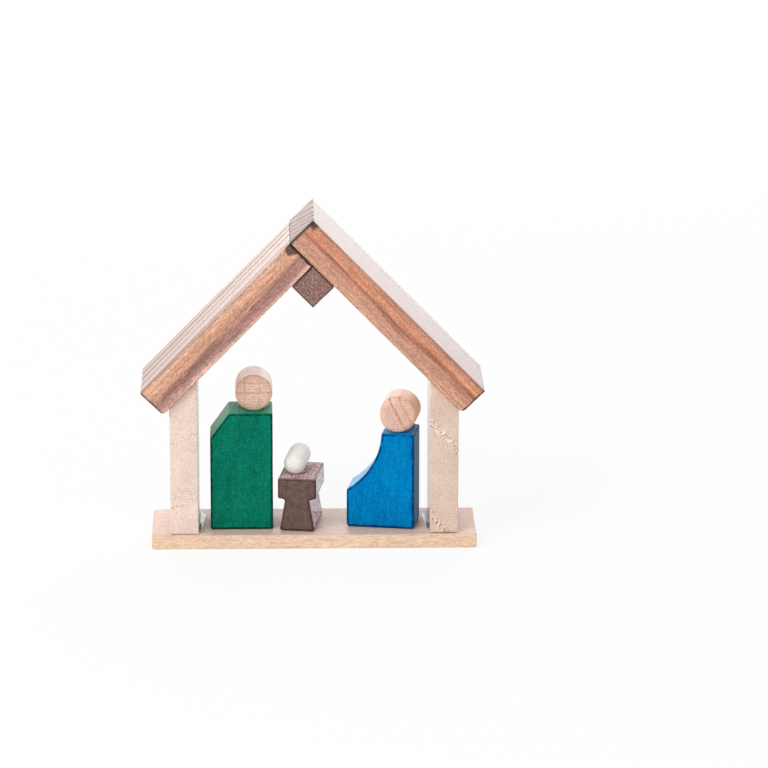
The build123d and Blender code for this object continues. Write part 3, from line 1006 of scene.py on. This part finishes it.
roof_board(
    "right_roof_board",
    corners=[
        (BUTT_TOP, BUTT_TOP_ROUND),
        (RIGHT_EAVES + RIGHT_INWARD * BOARD_THICKNESS, EAVES_UNDER_ROUND),
        (RIGHT_EAVES, EAVES_TOP_ROUND),
        (RIDGE, RIDGE_ROUND),
    ],
    top=(BOARD_TOP, RIDGE_END),
    groove=0.02,
    seed=2.0,
    slope=RIGHT_SLOPE,
    inward=RIGHT_INWARD,
    bands=RIGHT_BANDS,
    patch=(0.45, 0.25),
    top_colours=(tone(192, 166, 158), tone(156, 128, 120)),
    gloss=0.32,
    rings=RIGHT_RINGS,
    scorched=[(RIDGE + Vector((0.1, -0.5)), 1.3)],
    # Painted shade along the ridge and in the inner corner where the left board's top meets this board's
    # end.
    lined_edges=[(RIDGE, 0.95), (BUTT_TOP, 0.6)],
)
roof_board(
    "left_roof_board",
    corners=[
        (LEFT_EAVES + LEFT_INWARD * BOARD_THICKNESS, EAVES_UNDER_ROUND),
        (BUTT_BOTTOM, BUTT_BOTTOM_ROUND),
        (BUTT_TOP, BUTT_TOP_ROUND),
        (LEFT_EAVES, EAVES_TOP_ROUND),
    ],
    top=(BOARD_TOP,),
    groove=0.05,
    seed=6.0,
    slope=LEFT_SLOPE,
    inward=LEFT_INWARD,
    bands=LEFT_BANDS,
    patch=(0.66, 0.4),
    top_colours=(tone(212, 174, 160), tone(150, 110, 98)),
    gloss=0.75,
    rings=LEFT_RINGS,
    scorched=[
        (BUTT_TOP + LEFT_SLOPE * 0.5 + LEFT_INWARD * 0.9, 1.6),
        (BUTT_BOTTOM + Vector((-0.4, 1.0)), 1.0),
    ],
    lined_edges=[],
)

# Ridge beam: a square rod on edge in the roof's inner corner

beam_corner = BUTT_BOTTOM - RIGHT_SLOPE * (BEAM_SIZE / math.tan(2 * ROOF_PITCH))
beam_down, beam_in = RIGHT_SLOPE * BEAM_SIZE, RIGHT_INWARD * BEAM_SIZE
beam_section = (
    beam_corner + beam_in,
    beam_corner + beam_down + beam_in,
    beam_corner + beam_down,
    beam_corner,
)
beam = sanded_block(
    "ridge_rod",
    front_place(0, -BEAM_LENGTH / 2),
    [(point.x, point.y, BEAM_ROUND) for point in beam_section],
    BEAM_LENGTH,
    BEAM_RIM,
)
finish_block(
    beam, "ridge_beam", "stable", "grey_brown_wood", beam_finish(), ACROSS, seed=1.0, hollow_depth=0.05
)

# Standing figure

standing_place = front_place(*STANDING_FOOT, BASE_TOP, STANDING_TURN)
half = STANDING_WIDTH / 2
standing = sanded_block(
    "standing_block",
    standing_place,
    [
        (-half, 0, STANDING_ROUND),
        (half, 0, STANDING_ROUND),
        (half, STANDING_HEIGHT, STANDING_ROUND),
        (SHOULDER_RUN - half, STANDING_HEIGHT, SHOULDER_ROUND),
        (-half, STANDING_HEIGHT - SHOULDER_DROP, SHOULDER_ROUND),
    ],
    STANDING_DEPTH,
    STANDING_RIM,
    top=((2, 0.4), (3, 0.95)),
    dull=((2, 0.95), (3, 0.3)),
)
green = stain_finish(
    "green_stain",
    deep=tone(6, 109, 87),
    light=tone(10, 129, 103),
    fleck=tone(46, 150, 124),
    edge_colour=tone(6, 56, 50),
    # The paler top colour: partly stain worn down, partly a painted sheen.
    thin_stain_and_sheen=tone(56, 186, 130),
    seed=4.0,
)
finish_block(
    standing, "standing_figure_body", "standing_figure", "green_stained_wood", green, ACROSS, seed=4.0
)

# Kneeling figure, with its lap scooped out along an arc

SCOOP_POINTS = 18

kneeling_place = front_place(*KNEELING_FOOT, BASE_TOP, KNEELING_TURN)
half = KNEELING_WIDTH / 2
scoop_top = Vector((half - KNEELING_TOP_WIDTH, KNEELING_HEIGHT))
scoop_end = Vector((-half, LAP_HEIGHT))
chord = scoop_end - scoop_top
centre_way = Vector((chord.y, -chord.x)).normalized()
centre_reach = math.sqrt(SCOOP_RADIUS**2 - (chord.length / 2) ** 2)
scoop_centre = (scoop_top + scoop_end) / 2 + centre_way * centre_reach
start_angle = math.atan2(*(scoop_top - scoop_centre).yx)
end_angle = math.atan2(*(scoop_end - scoop_centre).yx)
scoop = [(scoop_top.x, scoop_top.y, SCOOP_ROUND)]
for angle in np.linspace(start_angle, end_angle, SCOOP_POINTS)[1:-1]:
    scoop_across = scoop_centre.x + SCOOP_RADIUS * math.cos(angle)
    scoop.append((scoop_across, scoop_centre.y + SCOOP_RADIUS * math.sin(angle), 0))
scoop.append((scoop_end.x, scoop_end.y, LAP_ROUND))
kneeling = sanded_block(
    "kneeling_block",
    kneeling_place,
    [
        (-half, 0, LAP_ROUND),
        (half, 0, KNEELING_ROUND),
        (half, KNEELING_HEIGHT, KNEELING_ROUND),
        *scoop,
    ],
    KNEELING_DEPTH,
    KNEELING_RIM,
    top=tuple((run, 1.0) for run in range(3, 2 + len(scoop))),
    dull=((2, 0.9),),
)
blue = stain_finish(
    "blue_stain",
    deep=tone(0, 118, 184),
    light=tone(0, 138, 204),
    fleck=tone(0, 152, 218),
    edge_colour=tone(0, 62, 122),
    # The paler scoop colour: partly stain worn down, partly a painted sheen.
    thin_stain_and_sheen=tone(40, 190, 250),
    seed=8.0,
)
finish_block(
    kneeling, "kneeling_figure_body", "kneeling_figure", "blue_stained_wood", blue, ACROSS, seed=8.0
)

# Manger

manger_place = front_place(*MANGER_FOOT, BASE_TOP, MANGER_TURN)
manger = sanded_block(
    "manger_block",
    manger_place,
    [
        (-FOOT_HALF_WIDTH, 0, MANGER_ROUND),
        (FOOT_HALF_WIDTH, 0, MANGER_ROUND),
        (WAIST_HALF_WIDTH, WAIST_HEIGHT, WAIST_ROUND),
        (TROUGH_HALF_WIDTH, TROUGH_LOW, MANGER_ROUND),
        (TROUGH_HALF_WIDTH, MANGER_HEIGHT, MANGER_ROUND),
        (-TROUGH_HALF_WIDTH, MANGER_HEIGHT, MANGER_ROUND),
        (-TROUGH_HALF_WIDTH, TROUGH_LOW, MANGER_ROUND),
        (-WAIST_HALF_WIDTH, WAIST_HEIGHT, WAIST_ROUND),
    ],
    MANGER_DEPTH,
    MANGER_RIM,
    top=((4, 1.0),),
)
brown = manger_finish()
finish_block(
    manger, "manger", "manger_group", "dark_stained_wood", brown, ACROSS, seed=2.5, hollow_depth=0.12
)

# Heads and infant: dowel slices that lie on the blocks, end grain to the front, flush at the back

DOWEL_POINTS, BULGES = 72, 3
RING_WAY, RAY_WAY = (0.0, 1.0), (1.0, 0.0)
KNEELING_RAY_WAY = (0.89, 0.456)
STANDING_STROKES = (
    (RING_WAY, 1.78, 0.17, 0.45),
    (RING_WAY, 0.0, 0.17, 0.65),
    (RAY_WAY, -1.64, 0.18, 0.3),
    (RAY_WAY, 1.02, 0.18, 0.35),
)
KNEELING_STROKES = (
    (KNEELING_RAY_WAY, 0.11, 0.3, 0.75),
    (KNEELING_RAY_WAY, 1.65, 0.26, 0.45),
    ((-0.25, 0.97), -2.2, 0.25, 0.3),
)


def dowel_slice(name, body, slot, place, seat, across, setback, depth, radius, rim, bulge, finish, seed):
    """A slice of dowel, a little out of round, that lies on a block, flush at its back."""
    share, bulge_at = bulge
    middle = seat + radius - SEAT_FLAT
    disc = []
    for angle in np.linspace(0, 2 * math.pi, DOWEL_POINTS, endpoint=False):
        reach = radius * (1 + share * math.cos(BULGES * (angle - math.radians(bulge_at))))
        disc.append((across + reach * math.cos(angle), middle + reach * math.sin(angle), 0))
    dowel = sanded_block(
        name + "_dowel",
        place @ np.array(Matrix.Translation((0, 0, setback))),
        disc,
        depth - setback,
        rim,
        gap=0.3,
        row_gap=0.3,
        face_gap=0.25,
        low_cut=seat,
    )
    finish_block(dowel, name, body, slot, finish, UP, seed=seed, hollow_depth=0.05)


def dowel_middle(place, seat, across, radius):
    """Middle of a slice's front end, for its finish."""
    return Vector((place @ np.array([across, seat + radius - SEAT_FLAT, 0, 1]))[:3])


beech = dowel_finish(
    "standing_head_beech",
    dowel_middle(standing_place, STANDING_HEIGHT, STANDING_HEAD_ACROSS, HEAD_RADIUS),
    standing_place[:3, 0],
    face_colours=(tone(238, 203, 181), tone(245, 218, 200)),
    rim_colour=tone(232, 186, 152),
    # Side colours: a painted sheen, with painted highlights at the flanks.
    sheen_side_colours=(tone(255, 245, 240), tone(232, 212, 206)),
    sheen_side_share=0.9,
    strokes=STANDING_STROKES,
    rows=(0.47, 0.6),
    seed=1.5,
)
dowel_slice(
    "standing_figure_head",
    "standing_figure",
    "dowel_wood",
    standing_place,
    seat=STANDING_HEIGHT,
    across=STANDING_HEAD_ACROSS,
    setback=STANDING_HEAD_SETBACK,
    depth=STANDING_DEPTH,
    radius=HEAD_RADIUS,
    rim=STANDING_HEAD_RIM,
    bulge=(0.005, 0),
    finish=beech,
    seed=1.5,
)
beech = dowel_finish(
    "kneeling_head_beech",
    dowel_middle(kneeling_place, KNEELING_HEIGHT, KNEELING_HEAD_ACROSS, HEAD_RADIUS),
    kneeling_place[:3, 0],
    face_colours=(tone(226, 186, 168), tone(234, 202, 187)),
    # Painted light: the rim and side colours are lighter, to cancel the shade on the rounded rim.
    rim_colour=tone(255, 222, 194),
    sheen_side_colours=(tone(250, 222, 204), tone(246, 216, 198)),
    sheen_side_share=0.6,
    strokes=KNEELING_STROKES,
    rows=(0.42, 0.5),
    seed=7.5,
)
dowel_slice(
    "kneeling_figure_head",
    "kneeling_figure",
    "dowel_wood",
    kneeling_place,
    seat=KNEELING_HEIGHT,
    across=KNEELING_HEAD_ACROSS,
    setback=KNEELING_HEAD_SETBACK,
    depth=KNEELING_DEPTH,
    radius=KNEELING_HEAD_RADIUS,
    rim=KNEELING_HEAD_RIM,
    bulge=(0.022, 125),
    finish=beech,
    seed=7.5,
)
infant_middle = dowel_middle(manger_place, MANGER_HEIGHT, INFANT_ACROSS, INFANT_RADIUS)
dowel_slice(
    "infant",
    "manger_group",
    "white_painted_wood",
    manger_place,
    seat=MANGER_HEIGHT,
    across=INFANT_ACROSS,
    setback=INFANT_SETBACK,
    depth=MANGER_DEPTH,
    radius=INFANT_RADIUS,
    rim=INFANT_RIM,
    bulge=(0.015, 60),
    finish=infant_finish(infant_middle, manger_place[:3, 0]),
    seed=11.0,
)

# Clear glue at the posts' feet

glue = clear_glue_finish()
for name in ("left_foot_glue", "right_foot_glue"):
    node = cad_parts[name]
    node.data.materials.clear()
    node.data.materials.append(glue)

# Glue specks at the heads

SPECK_RADIUS, DROP_RADIUS, SPECK_SPREAD = 0.15, 0.45, 0.12
SPECK_SEED = 3

specks_tree = glue_specks_tree()
white_glue = white_glue_finish()
for name, place, height, body, points, radius, finish in (
    (
        "left_head_glue",
        standing_place,
        STANDING_HEIGHT,
        "standing_figure",
        [(-1.2, 6.2), (-0.9, 6.7), (-0.6, 6.3), (-0.3, 6.0), (-0.5, 5.4)],
        SPECK_RADIUS,
        white_glue,
    ),
    (
        "right_head_glue",
        standing_place,
        STANDING_HEIGHT,
        "standing_figure",
        [(3.7, 3.6), (4.1, 4.2), (4.5, 4.9), (4.7, 5.6), (4.9, 6.3), (4.5, 6.8)],
        SPECK_RADIUS,
        white_glue,
    ),
    (
        "kneeling_head_glue",
        kneeling_place,
        KNEELING_HEIGHT,
        "kneeling_figure",
        [(4.9, 5.8), (5.2, 6.3)],
        DROP_RADIUS,
        glue,
    ),
):
    line = [Vector((place @ np.array([across, height, back, 1]))[:3]) for across, back in points]
    specks = new_piece(name, line, [])
    sizes = {"speck_radius": radius * MM, "spread": SPECK_SPREAD * MM}
    worked(specks, specks_tree, seed=SPECK_SEED, finish=finish, **sizes)
    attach(specks, body)

# Studio: white floor and surroundings, with soft light from above, in front and behind

AMBIENT, FRONT_REFLECTION, FLOOR_GLOW = 0.58, 0.07, 0.85
FLOOR_HALF, FLOOR_DROP = 3000.0, 0.02
LIT_POINT = Vector((0, 0, 30)) * MM

world = bpy.data.worlds.new("studio")
scene.world = world
world.use_nodes = True
sky = Nodes(world.node_tree)
path = sky.add("ShaderNodeLightPath").outputs
way = sky.add("ShaderNodeTexCoord").outputs["Generated"]
from_behind = sky.rise(sky.dot(way, BACK), -0.5, 0.3)
reflected = sky.sum("MULTIPLY_ADD", from_behind, 1 - FRONT_REFLECTION, FRONT_REFLECTION)
plain = sky.sum("MAXIMUM", path["Is Camera Ray"], path["Is Transmission Ray"])
lit = sky.sum("MULTIPLY_ADD", path["Is Glossy Ray"], sky.sum("SUBTRACT", reflected, AMBIENT), AMBIENT)
background = world.node_tree.nodes["Background"].inputs
sky.feed(background["Color"], (1, 1, 1, 1))
sky.feed(background["Strength"], sky.sum("ADD", plain, sky.times(sky.rest(plain), lit)))

floor_corners = ((-1, -1), (1, -1), (1, 1), (-1, 1))
floor_points = [Vector((x * FLOOR_HALF, y * FLOOR_HALF, -FLOOR_DROP)) for x, y in floor_corners]
floor = new_piece("floor", floor_points, [(0, 1, 2, 3)])
floor_finish = bpy.data.materials.new("white_floor")
floor_finish.use_nodes = True
ground = Nodes(floor_finish.node_tree)
ground.tree.nodes.remove(ground.tree.nodes["Principled BSDF"])
matt = ground.add("ShaderNodeBsdfDiffuse", Color=(0.97, 0.97, 0.97, 1))
glow = ground.add("ShaderNodeEmission", Color=(1, 1, 1, 1), Strength=1.0)
blend = ground.add("ShaderNodeMixShader")
path = ground.add("ShaderNodeLightPath").outputs
seen = ground.sum("MAXIMUM", path["Is Camera Ray"], path["Is Glossy Ray"])
seen = ground.sum("MAXIMUM", seen, path["Is Transmission Ray"])
ground.feed(blend.inputs[0], ground.sum("MULTIPLY", seen, FLOOR_GLOW))
ground.feed(blend.inputs[1], matt.outputs[0])
ground.feed(blend.inputs[2], glow.outputs[0])
ground.feed(ground.tree.nodes["Material Output"].inputs["Surface"], blend.outputs[0])
floor.data.materials.append(floor_finish)

for name, place, size, power in (
    ("key_light", (-450, -500, 550), 450, 3.6),
    ("back_light", (100, 800, 350), 800, 3.4),
):
    lamp = bpy.data.lights.new(name, "AREA")
    lamp.size = size * MM
    lamp.energy = power
    holder = bpy.data.objects.new(name, lamp)
    holder.visible_camera = False
    scene.collection.objects.link(holder)
    holder.location = Vector(place) * MM
    holder.rotation_euler = (LIT_POINT - holder.location).to_track_quat("-Z", "Y").to_euler()
